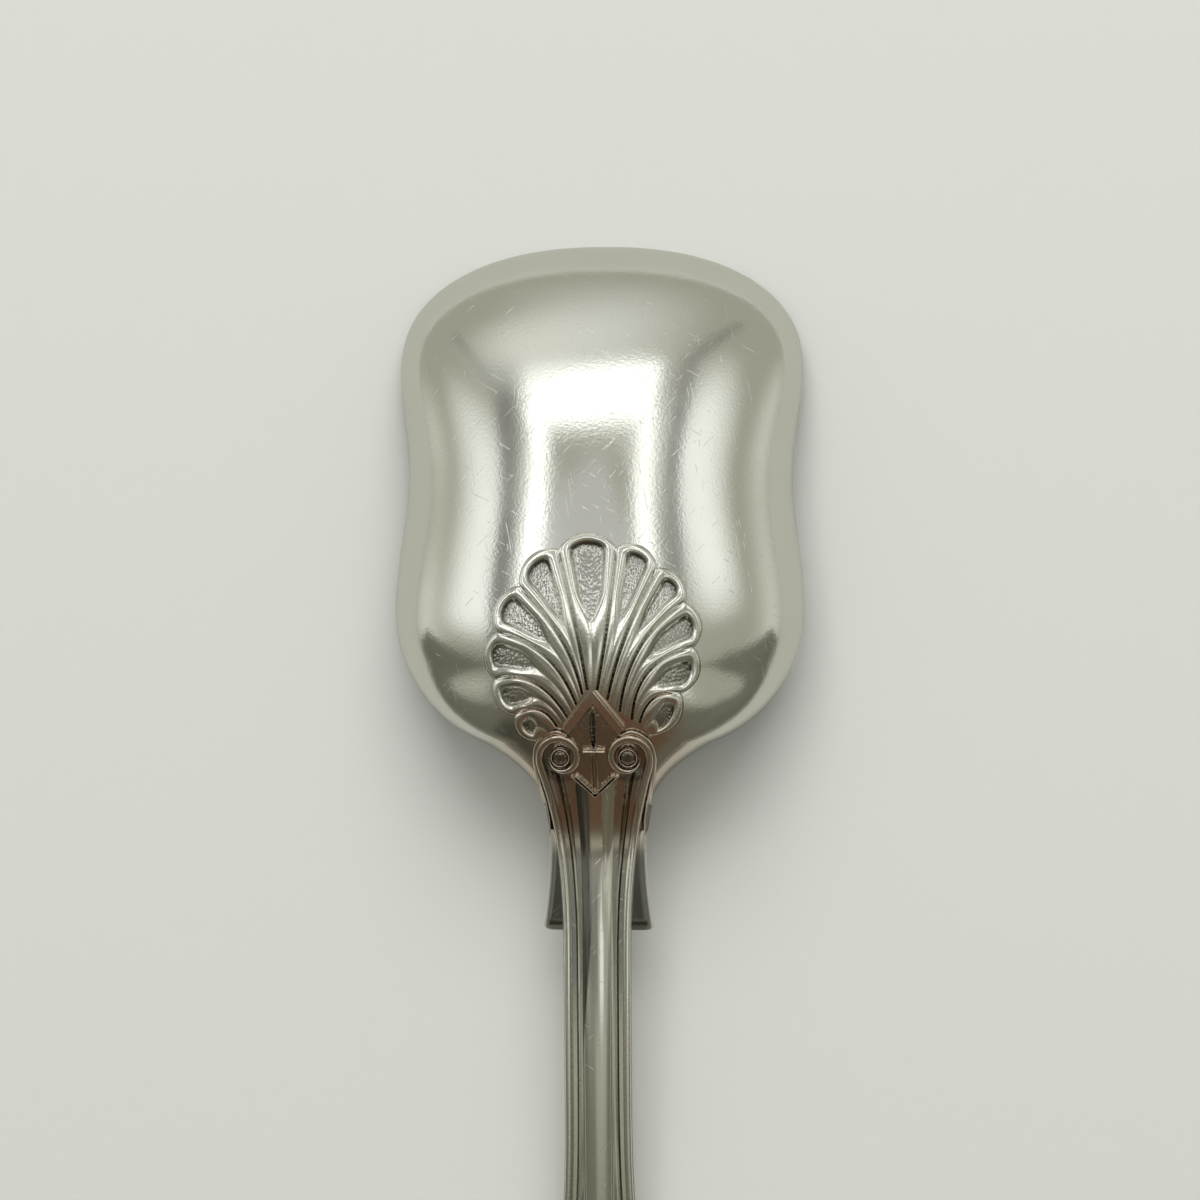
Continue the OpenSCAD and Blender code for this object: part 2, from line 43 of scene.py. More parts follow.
# Places along the spoon are distances from the tip in millimetres, called s
MM = 0.001
overall_len = 152.0
bowl_half_w, front_in, waist_in = 20.0, 0.2, 1.15
front_len, waist_at, hip_at = 12.2, 22.7, 35.9
shoulder_len, heel_half = 13.7, 6.0
tip_half, bowl_depth, crown_at = 0.3, 10.6, 30.0
wall, lip, hollow_end = 1.3, 0.35, 50.3
neck_half, neck_at, neck_t = 4.65, 57.9, 3.0
heel_end, lap_at, lap_in = 60.0, 54.6, 0.5
tang_t, shoulders_at, shoulders_half, shoulders_slope = 1.6, 67.0, 5.4, 0.8
neck_rise, neck_top_at = 5.4, 55.0
rest_from, rest_to, end_rise, end_t = 130.0, 134.0, 2.4, 1.8
fan_at, scroll_x, scroll_at = 41.1, 3.25, 50.0


def mix(a, b, t):
    return a + (b - a) * t


def ease(t):
    return (1 - np.cos(np.pi * np.clip(t, 0, 1))) / 2


def round_off(t, power):
    return np.maximum(0, 1 - np.minimum(1, np.abs(t)) ** power) ** (1 / power)


def place(x, s, z):
    """Points in metres, in the frame of the part, from millimetres across, from the tip and up."""
    x, s, z = np.broadcast_arrays(x, s, z)
    return np.stack([x, overall_len / 2 - s, z], -1) * MM


def front_z(s):
    """Height of the front face over the table."""
    return np.select(
        [s < neck_top_at, s < rest_from, s < rest_to],
        [neck_rise * np.sin(np.pi / 2 * s / neck_top_at),
         neck_rise * (1 - ease((s - neck_top_at) / (rest_from - neck_top_at))), 0],
        end_rise * (1 - np.cos(np.pi / 2 * (s - rest_to) / (overall_len - rest_to))))


fillet_from = hip_at + shoulder_len * 0.93


def shoulder_half(s):
    return heel_half + (bowl_half_w - heel_half) * round_off((s - hip_at) / shoulder_len, 2)


def bowl_half(s):
    """Half width of the bowl, its neck and its tang, whose corners are rounded."""
    front_half, waist_half = bowl_half_w - front_in, bowl_half_w - waist_in
    corner = 0.5 * (1 - np.sqrt(1 - np.clip((s - shoulders_at) / 0.5 + 1, 0, 1) ** 2))
    return np.select(
        [s < front_len, s < waist_at, s < hip_at, s < fillet_from, s < neck_at],
        [np.maximum(tip_half, front_half * round_off(1 - s / front_len, 2.25)),
         mix(front_half, waist_half, ease((s - front_len) / (waist_at - front_len))),
         mix(waist_half, bowl_half_w, ease((s - waist_at) / (hip_at - waist_at))),
         shoulder_half(s),
         neck_half + (shoulder_half(fillet_from) - neck_half)
         * np.maximum(0, (neck_at - s) / (neck_at - fillet_from)) ** 2.7],
        neck_half + (shoulders_half - neck_half) * ((s - neck_at) / (shoulders_at - neck_at)) ** 2 - corner)


def back_over(s):
    """Thickness over the middle, from the front face to the back."""
    return np.select(
        [s < crown_at, s < heel_end],
        [np.maximum(lip, bowl_depth * round_off(1 - s / crown_at, 2.1)),
         mix(bowl_depth, neck_t, ease(np.maximum(0, (s - crown_at) / (heel_end - crown_at)) ** 1.5))],
        mix(neck_t, end_t, ease((s - heel_end) / (overall_len - heel_end))))


def section_at(s):
    return mix(2.05, 5, ease((s - fan_at) / (lap_at - fan_at)))


def back_z(x, s):
    power = section_at(s)
    return front_z(s) + back_over(s) * np.maximum(
        0, 1 - np.minimum(1, np.abs(x) / bowl_half(s)) ** power) ** (1 / power)


def stations(*runs):
    """Rows down the spoon, from runs of (from, to, count)."""
    return np.concatenate([np.linspace(a, b, n, endpoint=False) for a, b, n in runs] + [[runs[-1][1]]])


def row_at(rows, t):
    return np.interp(t * (len(rows) - 1), np.arange(len(rows)), rows)


def made_object(name, bm):
    """A finished bmesh as an object in the scene."""
    mesh = bpy.data.meshes.new(name)
    bm.to_mesh(mesh)
    bm.free()
    made = bpy.data.objects.new(name, mesh)
    bpy.context.scene.collection.objects.link(made)
    return made


def closed_piece(name, columns, rows, upper, lower, sharp=35, shade_and_tarnish_mask=None):
    """Two flat grids, one moved to the upper face and one to the lower, bridged round the edge.
    The last argument gives how dark each place is painted, with tarnish and painted shade."""
    bm = bmesh.new()
    mask_layer = bm.verts.layers.float.new("shade_and_tarnish_mask")
    for face in (upper, lower):
        grid = bmesh.ops.create_grid(bm, x_segments=columns, y_segments=rows, size=1)["verts"]
        flat = np.array([v.co for v in grid])
        across, down = (flat[:, 0] + 1) / 2, (1 - flat[:, 1]) / 2
        for v, co in zip(grid, face(across, down)):
            v.co = co
        if shade_and_tarnish_mask and face is upper:
            for v, deep in zip(grid, shade_and_tarnish_mask(across, down)):
                v[mask_layer] = deep
    bmesh.ops.bridge_loops(bm, edges=[e for e in bm.edges if e.is_boundary])
    bmesh.ops.recalc_face_normals(bm, faces=bm.faces)
    for f in bm.faces:
        f.smooth = True
    piece = made_object(name, bm)
    piece.data.set_sharp_from_angle(angle=np.radians(sharp))
    return piece


tip_rows = front_len * (1 - np.cos(np.linspace(0, np.pi / 2, 61)[:-1]))
bowl_rows = np.concatenate([tip_rows, stations(
    (front_len, hip_at, 60), (hip_at, fillet_from, 50), (fillet_from, lap_at, 24),
    (lap_at, lap_at + lap_in, 3), (lap_at + lap_in, shoulders_at - shoulders_slope, 24),
    (shoulders_at - shoulders_slope, shoulders_at, 8))])


# The bowl's back flattens to a seat for the rib, and the stem's channels start on it
seat_from, seat_in = 50.5, 4
channels_from, channels_in, channel_depth = 50.8, 1.2, 0.55
ground_reach, ears_dark_from = 2.7, 57
# The stem's section over half its width: the ledge of the outer thread, the channel, the inner
# thread and its groove, as share of the half width, then share of the channel's depth
neck_shares = np.array([(1, 0.62), (0.84, 0.62), (0.78, 1), (0.69, 1), (0.62, 0.1), (0.55, 0.8),
                        (0.38, 0.8), (0.32, 0), (0, 0)])
stem_half_w, even_from, root_out, root_len = 3.3, 70.0, 1.35, 15.4


def root_half(s):
    """Half width of the stem where it widens towards the heel."""
    return stem_half_w + root_out * np.maximum(0, (even_from - s) / root_len) ** 2.6


# Tarnish and painted shade in the channels, darker where they are cut deeper
def channel_tarnish_and_shade(deep):
    return np.clip(1.6 * deep - 0.9, 0, 0.22)


def bowl_relief(across, down):
    """Place, and how dark it is painted with tarnish and painted shade, on the back of the bowl, its neck
    and its tang.
    """
    s = row_at(bowl_rows, down)
    u = 2 * across - 1
    half = bowl_half(s)
    share = np.sin(np.pi / 2 * u)
    x = half * share
    z = front_z(s) + np.maximum(lip, back_over(s) * np.maximum(0, 1 - np.abs(share) ** section_at(s))
                                ** (1 / section_at(s)))
    flat = np.clip((root_half(s) - np.abs(x)) / 0.3, 0, 1) * ease((s - seat_from) / seat_in)
    z = np.where(s > seat_from, mix(z, front_z(s) + back_over(s), flat), z)
    carved = np.interp(-np.abs(x) / root_half(s), -neck_shares[:, 0], neck_shares[:, 1], left=0)
    carved = np.where(s > channels_from, carved * ease((s - channels_from) / channels_in), 0)
    # The tang's ears are bevelled all round
    from_side = (1 - np.abs(u)) * half
    edge = np.sin(np.pi / 2 * np.clip(from_side / 0.7, 0, 1))
    foot = np.sin(np.pi / 2 * np.clip((shoulders_at - s) / 0.9, 0, 1))
    tang_z = front_z(s) + tang_t * (0.4 + 0.6 * edge) * (0.45 + 0.55 * foot)
    tang = np.clip((s - lap_at) / lap_in, 0, 1)
    # Painted shade darkens the tang's ears beside the stem, all but their outer edge
    ears = 0.88 * ease((s - ears_dark_from) / 3) * ease((from_side - 0.08) / 0.2)
    # The ground round the scrolls is dark too, with tarnish and painted shade
    ground = 0.6 * ease((ground_reach - np.hypot(np.abs(x) - scroll_x, s - scroll_at)) / 0.5)
    tarnish_and_shade = mix(np.maximum(channel_tarnish_and_shade(carved), ground), ears, tang)
    return mix(x, half * u, tang), s, mix(z - carved * channel_depth, tang_z, tang), tarnish_and_shade


def bowl_upper(across, down):
    return place(*bowl_relief(across, down)[:3])


def bowl_lower(across, down):
    s = row_at(bowl_rows, down)
    u = 2 * across - 1
    half = bowl_half(s)
    hollow_half = np.select(
        [s < front_len, s < hip_at],
        [(bowl_half_w - front_in - wall) * round_off(1 - (s - wall) / (front_len - wall), 2.25),
         half - wall],
        (bowl_half_w - wall) * round_off((s - hip_at) / (hollow_end - hip_at), 2))
    hollow_over = np.where(
        s < crown_at, (bowl_depth - wall) * round_off(1 - (s - wall) / (crown_at - wall), 2.1),
        (back_over(s) - wall) * round_off((s - crown_at) / (hollow_end - crown_at), 3))
    opened = (s > wall) & (s < hollow_end)
    hollow_half = np.minimum(np.maximum(hollow_half, 1.5), half - 2 * lip)
    # The outer 4% of the columns span the flat lip, on which the bowl lies
    inner = np.clip(u / 0.96, -1, 1)
    angle = np.pi / 2 * inner
    x = hollow_half * np.sin(angle)
    z = front_z(s) + np.where(opened, hollow_over, 0) * np.abs(np.cos(angle))
    rim = np.clip((np.abs(u) - 0.96) / 0.04, 0, 1)
    x = np.where(rim > 0, np.sign(u) * mix(hollow_half, half - lip, rim), x)
    return place(x, s, np.where(rim > 0, front_z(s), z))


bowl = closed_piece("polished_bowl", 140, len(bowl_rows) - 1, bowl_upper, bowl_lower,
                    shade_and_tarnish_mask=lambda a, d: bowl_relief(a, d)[3])
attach(bowl, "root")
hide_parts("bowl")


def linear(hex_colour):
    """A colour written as sRGB hex, turned linear."""
    parts = [int(hex_colour[i:i + 2], 16) / 255 for i in (1, 3, 5)]
    return [c / 12.92 if c <= 0.04045 else ((c + 0.055) / 1.055) ** 2.4 for c in parts] + [1]


def add(tree, kind, links=(), **settings):
    """One node with its settings and links. A link is (input, node, output)."""
    node = tree.nodes.new(kind)
    for key, value in settings.items():
        if key.startswith("in_"):
            socket = key[3:]
            node.inputs[int(socket) if socket.isdigit() else socket.replace("_", " ")].default_value = value
        else:
            setattr(node, key, value)
    for socket, source, output in links:
        tree.links.new(source.outputs[output], node.inputs[socket])
    return node


def blank_material(name):
    """A material with no nodes yet, and its tree."""
    mat = bpy.data.materials.new(name)
    mat.use_nodes = True
    mat.node_tree.nodes.clear()
    return mat, mat.node_tree


def silver_plate(name, colours, roughness, scratch, pits, tarnish_and_shade=0.0, pounce=0.0):
    """Silver plate: a white metal with a warm cast, bright where it is rubbed, dull in the pits,
    and nearly black with tarnish and painted shade at the bottom of the struck relief. Pounce is
    the punched grain of the panels."""
    mat, tree = blank_material(name)
    place_node = add(tree, "ShaderNodeTexCoord")
    # Polishing grain and pits, about 0.25 mm across
    pitting = add(tree, "ShaderNodeTexNoise", [("Vector", place_node, "Object")],
                  in_Scale=3600.0, in_Detail=2.0, in_Roughness=0.6)
    # A faint cloudy bloom, about 6 mm across, in the colour and the dullness
    bloom = add(tree, "ShaderNodeTexNoise", [("Vector", place_node, "Object")],
                in_Scale=160.0, in_Detail=4.0, in_Roughness=0.55)
    # Fine scratches in three directions, 1 to 3 mm long and under 0.1 mm wide
    height = None
    for turn, stretch in ((0.5, (450, 7000, 450)), (-0.8, (500, 7500, 500)), (1.4, (400, 7000, 400))):
        aim = add(tree, "ShaderNodeMapping", [("Vector", place_node, "Object")], in_Rotation=(0, 0, turn))
        lay = add(tree, "ShaderNodeMapping", [("Vector", aim, "Vector")], in_Scale=stretch)
        noise = add(tree, "ShaderNodeTexNoise", [("Vector", lay, "Vector")], in_Scale=1.0, in_Detail=0.0)
        line = add(tree, "ShaderNodeMapRange", [(0, noise, "Fac")],
                   in_1=0.8, in_2=0.85, in_3=0.0, in_4=1.0)
        height = line if height is None else add(
            tree, "ShaderNodeMath", [(0, height, 0), (1, line, 0)], operation="MAXIMUM")
    scratches = add(tree, "ShaderNodeMath", [(0, height, 0)], operation="MULTIPLY", in_1=-scratch)
    relief = add(tree, "ShaderNodeMath", [(0, pitting, "Fac"), (2, scratches, 0)],
                 operation="MULTIPLY_ADD", in_1=pits)
    shade_and_tarnish_mask = add(tree, "ShaderNodeAttribute", attribute_name="shade_and_tarnish_mask")
    # Punched grain, about 0.3 mm across, only where the mask of tarnish and painted shade lies: the sunk
    # places and the eyes
    punched = add(tree, "ShaderNodeTexVoronoi", [("Vector", place_node, "Object")], in_Scale=3400.0)
    sunk = add(tree, "ShaderNodeMath", [(0, punched, "Distance"), (1, shade_and_tarnish_mask, "Fac")], operation="MULTIPLY")
    grained = add(tree, "ShaderNodeMath", [(0, sunk, 0), (2, relief, 0)], operation="MULTIPLY_ADD",
                  in_1=-pounce)
    bump = add(tree, "ShaderNodeBump", [("Height", grained, 0)], in_Strength=1.0, in_Distance=0.00002)
    dull = add(tree, "ShaderNodeMapRange", [(0, bloom, "Fac")],
               in_1=0.3, in_2=0.7, in_3=roughness * 0.85, in_4=roughness * 1.2)
    tint = add(tree, "ShaderNodeMixRGB", [("Fac", bloom, "Fac")],
               in_Color1=linear(colours[0]), in_Color2=linear(colours[1]))
    # A painted warm reflection, brown, round the hood, gone 13 mm from its middle
    hood_middle, warm_within, warm_until, most_warm_reflection = (0, 0.0255, 0.011), 0.006, 0.013, 0.34
    away = add(tree, "ShaderNodeVectorMath", [(0, place_node, "Object")], operation="DISTANCE",
               in_1=hood_middle)
    warm_reflection = add(tree, "ShaderNodeMapRange", [(0, away, "Value")], interpolation_type="SMOOTHSTEP",
                 in_1=warm_within, in_2=warm_until, in_3=most_warm_reflection, in_4=0.0)
    brown = add(tree, "ShaderNodeMixRGB", [("Fac", warm_reflection, 0), ("Color1", tint, 0)],
                in_Color2=linear("#C08A58"))
    # Tarnish and painted shade: the mask darkens the colour towards a dark olive
    painted_darkening = add(tree, "ShaderNodeMath", [(0, shade_and_tarnish_mask, "Fac")], operation="MULTIPLY", in_1=tarnish_and_shade)
    darkened_colour = add(tree, "ShaderNodeMixRGB", [("Fac", painted_darkening, 0), ("Color1", brown, 0)],
                in_Color2=linear("#38352A"))
    shader = add(tree, "ShaderNodeBsdfPrincipled",
                 [("Base Color", darkened_colour, 0), ("Roughness", dull, 0), ("Normal", bump, 0)], in_Metallic=1.0)
    add(tree, "ShaderNodeOutputMaterial", [("Surface", shader, 0)])
    return mat


# The bowl is buffed all over, with a soft gleam, and shows the most scratches
polished = silver_plate("polished silver plate", ("#F4F4EE", "#EDEDE4"), 0.13, 0.3, 0.35, 0.9)
bowl.data.materials.append(polished)

# Stem: a bar of the same metal, soldered on the tang, with a channel along each side of its
# middle, cut by the die. It widens into the fiddle end.
flare_from, flare_to = 80.0, 128.0
fiddle_half, fiddle_from, fiddle_round, end_half = 8.8, 138.0, 14.0, 1.5
stem_edge, solder = 0.5, 0.1
rubbed_from, rubbed_over = 66, 12
stem_shares = [(1, 0.62), (0.78, 0.62), (0.73, 1), (0.62, 1), (0.56, 0.35), (0.5, 0.9),
               (0.46, 0.9), (0.43, 0), (0, 0)]
fiddle_shares = [(1, 0.62), (0.86, 0.62), (0.82, 1), (0.78, 1), (0.75, 0), (0.72, 0.3),
                 (0.69, 0), (0.4, 0), (0, 0)]


def stem_half(s):
    return np.select(
        [s < even_from, s < flare_to, s < fiddle_from],
        [root_half(s),
         mix(stem_half_w, fiddle_half, ease((s - flare_from) / (flare_to - flare_from)) ** 1.9),
         fiddle_half],
        np.maximum(end_half, fiddle_half * round_off((s - fiddle_from) / fiddle_round, 2.4)))


def stem_top(s):
    return front_z(s) + back_over(s)


stem_rows = np.concatenate([stations((lap_at - 0.05, even_from, 40), (even_from, flare_to, 90),
                                     (flare_to, fiddle_from, 20)),
                            fiddle_from + fiddle_round * np.sin(np.linspace(0, np.pi / 2, 41)[1:])])
stem_cut = 12
stem_columns = 2 * stem_cut * (len(stem_shares) - 1)


def stem_section(across, down):
    """Distance from the tip, side, share of the half width and share of the channel's depth."""
    s = row_at(stem_rows, down)
    u = 2 * across - 1
    k = (1 - np.abs(u)) * (len(stem_shares) - 1)
    neck, even, fiddle = (
        [np.interp(k, np.arange(len(shares)), np.array(shares)[:, i]) for i in (0, 1)]
        for shares in (neck_shares, stem_shares, fiddle_shares))
    t_even = ease((s - lap_at) / (even_from - lap_at))
    t_fiddle = ease((s - flare_from) / (flare_to - flare_from))
    out = mix(mix(neck[0], even[0], t_even), fiddle[0], t_fiddle)
    deep = mix(mix(neck[1], even[1], t_even), fiddle[1], t_fiddle)
    return s, np.sign(u), out, deep


def stem_upper(across, down):
    s, side, out, deep = stem_section(across, down)
    return place(side * out * stem_half(s), s, stem_top(s) - deep * channel_depth)


def stem_lower(across, down):
    s = row_at(stem_rows, down)
    under = front_z(s) + np.where(s < shoulders_at - shoulders_slope, tang_t + solder, 0)
    return place((2 * across - 1) * (stem_half(s) - stem_edge), s, under)


def stem_tarnish_and_shade(across, down):
    """The channels are dark with tarnish and painted shade at the neck, and cleaner along the handle, where
    fingers rub them.
    """
    s, _, _, deep = stem_section(across, down)
    rubbed = ease((s - rubbed_from) / rubbed_over)
    return channel_tarnish_and_shade(deep) * mix(1, 0.2, rubbed)


stem = closed_piece("channelled_stem", stem_columns, len(stem_rows) - 1, stem_upper, stem_lower,
                    shade_and_tarnish_mask=stem_tarnish_and_shade)
# The handle is rubbed smooth by fingers, so it has few pits, and grey tarnish and painted shade lie in its
# channels
channelled = silver_plate("silver plate with grey channels", ("#F5F5EF", "#EDECE2"), 0.14, 0.2, 0.1, 0.9)
stem.data.materials.append(channelled)
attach(stem, "root")
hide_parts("stem")

# Rib: half-round wire of the same metal down the middle of the stem, run on with solder, filed
# to a flat top under the hood and thin towards its far end.
rib_from, rib_to, rib_half, rib_h, rib_fade = 52.1, 135.0, 1.4, 0.75, 11.0
broad_to, broad_over, round_from, round_over = 64, 11, 58, 10
dark_to, dark_over = 84, 18


def rib_section(across, down):
    """Side, distance from the tip and share of the height. The rib starts in a V under the hood
    and is broad and flat-topped there."""
    share = np.sin(np.pi * (across - 0.5))
    s = mix(rib_from + 1.8 * (1 - np.abs(share)), rib_to, down)
    fade = mix(0.3, 1, ease((rib_to - s) / rib_fade))
    width = (rib_half + 0.5 * np.clip((broad_to - s) / broad_over, 0, 1) ** 1.5) * fade
    facets = ease(np.clip((1 - np.abs(share)) / 0.6, 0, 1) ** 0.8 * 0.5) * 2
    rounded = np.cos(np.pi * (across - 0.5)) ** 0.9
    return width * share, s, fade * mix(facets, rounded, ease((s - round_from) / round_over))


def rib_upper(across, down):
    x, s, high = rib_section(across, down)
    return place(x, s, stem_top(s) + solder + rib_h * high)


def rib_lower(across, down):
    x, s, _ = rib_section(across, down)
    return place(x, s, stem_top(s) - 3 * solder)


def rib_painted_shade(across, down):
    """Painted shade: the dark line along the rib's left foot, broad at the neck and fine along the handle.
    """
    s = rib_section(across, down)[1]
    reach = mix(0.06, 0.4, ease((dark_to - s) / dark_over))
    return np.where(across < 0.5, 0.9 * ease((reach - across) / 0.05), 0)


rib = closed_piece("half_round_rib", 32, 220, rib_upper, rib_lower, shade_and_tarnish_mask=rib_painted_shade)
rib.data.materials.append(channelled)
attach(rib, "root")
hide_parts("centre_rib")

# Scrolls: a wire along each edge of the stem runs up over the heel and winds in to an eye. It is
# struck in a die, soldered on and plated, and stays bright on top and brown in the turns, where
# tarnish and painted shade darken it.
# The struck relief is crisp and bright on its crests, with punched grain where it is sunk
struck = silver_plate("struck silver plate", ("#F8F8F2", "#ECEADF"), 0.12, 0.2, 0.45, 0.92, 5.0)
scroll_r, scroll_inner_r, ring_r = 2.12, 1.1, 0.84
eye_r, eye_up, eye_squash, eye_darkening = 0.74, 0.5, 0.4, 0.7
thread_w, thread_h, thread_inset = 0.8, 0.5, 0.45
turn = np.radians(np.linspace(-175, 200, 150))
radius = mix(scroll_inner_r, scroll_r, ((turn - turn[0]) / (turn[-1] - turn[0])) ** 0.95)
run_from = scroll_at - scroll_r * np.sin(turn[-1])
run_s = np.linspace(run_from, fiddle_from, 260)[1:]
end_turn = np.radians(np.linspace(0, 88, 50)[1:])
path_x = np.concatenate([-scroll_x + radius * np.cos(turn), -(stem_half(run_s) - thread_inset),
                         -(fiddle_half - thread_inset) * np.cos(end_turn) ** (2 / 2.4), [0.0]])
path_s = np.concatenate([scroll_at - radius * np.sin(turn), run_s,
                         fiddle_from + (fiddle_round - thread_inset) * np.sin(end_turn) ** (2 / 2.4),
                         [overall_len - thread_inset]])
wound = np.clip(np.arange(len(path_x)) / (len(turn) - 1), 0, 1)


def seat_z(x, s):
    """Height of what a thread lies on: the bowl's back, and the stem's ledge behind the lap."""
    on_bowl = back_z(x, s)
    on_stem = stem_top(s) - stem_shares[0][1] * channel_depth
    past_lap = np.clip((s - lap_at) / lap_in, 0, 1)
    return np.where(s < lap_at, on_bowl, mix(np.maximum(on_bowl, on_stem), on_stem, past_lap))


def swept(name, xs, ss, width, height, side, seat=seat_z, fullness=2.6):
    """A soldered wire along a path, each place on it moved square to the path and up."""
    heading = np.stack([np.gradient(xs), np.gradient(ss)], -1)
    heading /= np.linalg.norm(heading, axis=1, keepdims=True)
    columns = 14

    def point(across, down, lift):
        k = np.clip(np.round(down * (len(xs) - 1)).astype(int), 0, len(xs) - 1)
        u = np.sin(np.pi / 2 * (2 * across - 1))
        x = xs[k] + heading[k, 1] * u * width[k] / 2
        s = ss[k] - heading[k, 0] * u * width[k] / 2
        z = np.maximum(seat(x, s), seat(xs[k], ss[k]) - 0.05) + lift * height[k] * (
            0.12 + 0.88 * round_off(u, fullness))
        return place(side * x, s, z)

    # The wire's feet are painted dark, with tarnish and painted shade where it meets the surface under it
    piece = closed_piece(name, columns, len(xs) - 1, lambda a, d: point(a, d, 1),
                         lambda a, d: point(a, d, 0), shade_and_tarnish_mask=lambda a, d: np.abs(2 * a - 1) ** 6)
    piece.data.materials.append(struck)
    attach(piece, "root")
    return piece


def spline(points, count):
    """A smooth path through a few places."""
    points = np.array(points)
    run = np.concatenate([[0], np.cumsum(np.linalg.norm(np.diff(points, axis=0), axis=1))])
    slope = np.gradient(points, run, axis=0)
    at = np.linspace(0, run[-1], count)
    k = np.minimum(len(run) - 2, np.searchsorted(run, at, side="right") - 1)
    gap = run[k + 1] - run[k]
    t = (at - run[k]) / gap
    h = np.stack([2 * t**3 - 3 * t**2 + 1, t**3 - 2 * t**2 + t, 3 * t**2 - 2 * t**3, t**3 - t**2])
    return [h[0] * points[k, i] + h[1] * gap * slope[k, i]
            + h[2] * points[k + 1, i] + h[3] * gap * slope[k + 1, i] for i in (0, 1)]


# The coil starts thin and low beside the eye, is soon a little broader and higher than the
# thread, and goes over into it. A thin ring stands inside it, round the eye
coil_start_w, coil_full_w, coil_full_h = 0.2, 0.84, 0.66
coil_w = np.where(wound < 1, mix(coil_start_w, coil_full_w, ease(2.2 * wound)) - 0.04 * wound, thread_w)
coil_h = mix(coil_full_h, thread_h, ease(2 * wound - 1)) * mix(0.1, 1, ease(4 * wound)) + solder
ring_turn = np.linspace(0, 2 * np.pi, 60)
ring_x, ring_s = -scroll_x + ring_r * np.cos(ring_turn), scroll_at + ring_r * np.sin(ring_turn)
ring_w, ring_h = np.full(60, 0.26), np.full(60, 0.88)
# The bead round the outside of each scroll, which runs on down the side of the neck and thins out
bead_x, bead_s = spline([(-2.6, 47.9), (-3.6, 47.55), (-4.6, 47.9), (-5.4, 48.7), (-5.72, 49.9),
                         (-5.6, 51.4), (-5.3, 53.1), (-4.95, 55.0), (-4.68, 57.0), (-4.5, 59.0)], 120)
bead_h = 0.5 * mix(0.1, 1, ease(np.linspace(4, 0, 120)))
for side, name, node in ((1, "left", "left_scroll"), (-1, "right", "right_scroll")):
    thread = swept(name + "_thread_and_scroll", path_x, path_s, coil_w, coil_h, side, fullness=2.5)
    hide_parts(node)
    swept(name + "_ring", ring_x, ring_s, ring_w, ring_h, side, fullness=2)
    swept(name + "_heel_bead", bead_x, bead_s, bead_h, bead_h, side, seat=back_z)
    bm = bmesh.new()
    bmesh.ops.create_uvsphere(bm, u_segments=32, v_segments=16, radius=eye_r * MM)
    for v in bm.verts:
        x = -side * scroll_x + v.co.x / MM
        s = scroll_at - v.co.y / MM
        v.co = Vector(place(x, s, back_z(np.abs(x), s) + eye_up + eye_squash * v.co.z / MM).tolist())
    # The eye is painted dark all over
    mask_layer = bm.verts.layers.float.new("shade_and_tarnish_mask")
    for v in bm.verts:
        v[mask_layer] = eye_darkening
    for f in bm.faces:
        f.smooth = True
    eye = made_object(name + "_eye", bm)
    eye.data.materials.append(struck)
    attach(eye, "root")

# Hood: a pointed arch over a spindle that ends in a chevron, struck from sheet in sharp relief,
# silver plated and soldered over the roots of the lobes.
hood_at, foot_at, foot_half = 43.5, 47.2, 2.95
chevron_at, chevron_end, chevron_half = 51.9, 54.1, 2.35
spindle_from, spindle_to, spindle_half = 45.3, 49.1, 0.36
bar_at, bar_half, staff_from = 49.42, 1.08, 49.7
band_w, hood_t, hood_relief_h = 0.86, 0.16, 0.72


def hood_half(s):
    return np.interp(s, [hood_at, foot_at, foot_at + 0.7, chevron_at, chevron_end],
                     [0.05, foot_half, 2.2, chevron_half, 0.05])


def bead(off, width):
    """A rounded wire, as a share of its height, from the distance off its middle."""
    return np.sqrt(np.maximum(0, 1 - (off / (width / 2)) ** 2))


def hood_relief(across, down):
    """Place, height of the relief over the ground and how dark it is painted, with tarnish and painted
    shade.
    """
    s = mix(hood_at, chevron_end, down)
    x = (2 * across - 1) * hood_half(s)
    off = np.abs(x)
    gable = (s - hood_at) * foot_half / (foot_at - hood_at)
    edge = (gable - off) * (foot_at - hood_at) / np.hypot(foot_at - hood_at, foot_half)
    band = ease((band_w - edge) / 0.1) * np.clip(edge / 0.08 + 0.5, 0, 1) * (s < foot_at + 0.9)
    vee = (chevron_end - s) * chevron_half / (chevron_end - chevron_at)
    # 0.68 turns a distance across the spoon into one square to the chevron's leg
    low = (vee - off) * 0.68
    chevron = np.maximum(bead(low - 0.14, 0.26) * 0.8, bead(low - 0.42, 0.24)) * (s > chevron_at)
    along = np.clip((s - spindle_from) / (spindle_to - spindle_from), 0, 1)
    lens = spindle_half * np.sin(np.pi * along) ** 0.6
    spindle = bead(off - lens, 0.2) * (s > spindle_from + 0.05) * (s < spindle_to)
    staff = bead(off - 0.25, 0.24) * (s > staff_from) * (s < chevron_end - 0.6)
    bar = bead(s - bar_at, 0.36) * (off < bar_half)
    raised = np.maximum.reduce([band, 0.85 * chevron, 0.75 * spindle, 0.6 * staff, 0.85 * bar])
    # The slot down the middle of the spindle holds the most tarnish and painted shade
    slot = np.exp(-(off / 0.13) ** 2) * (s > spindle_from + 0.4) * (s < spindle_to - 0.2)
    return x, s, raised, np.clip(0.34 * (1 - raised) + slot, 0, 1) * (edge > 0.1)


def hood_point(across, down, lift):
    x, s, raised, _ = hood_relief(across, down)
    return place(x, s, back_z(x, s) + solder + lift * (hood_t + hood_relief_h * raised))


hood = closed_piece("pointed_hood", 120, 210, lambda a, d: hood_point(a, d, 1),
                    lambda a, d: hood_point(a, d, 0), shade_and_tarnish_mask=lambda a, d: hood_relief(a, d)[3])
hood.data.materials.append(struck)
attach(hood, "root")
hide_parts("hood")

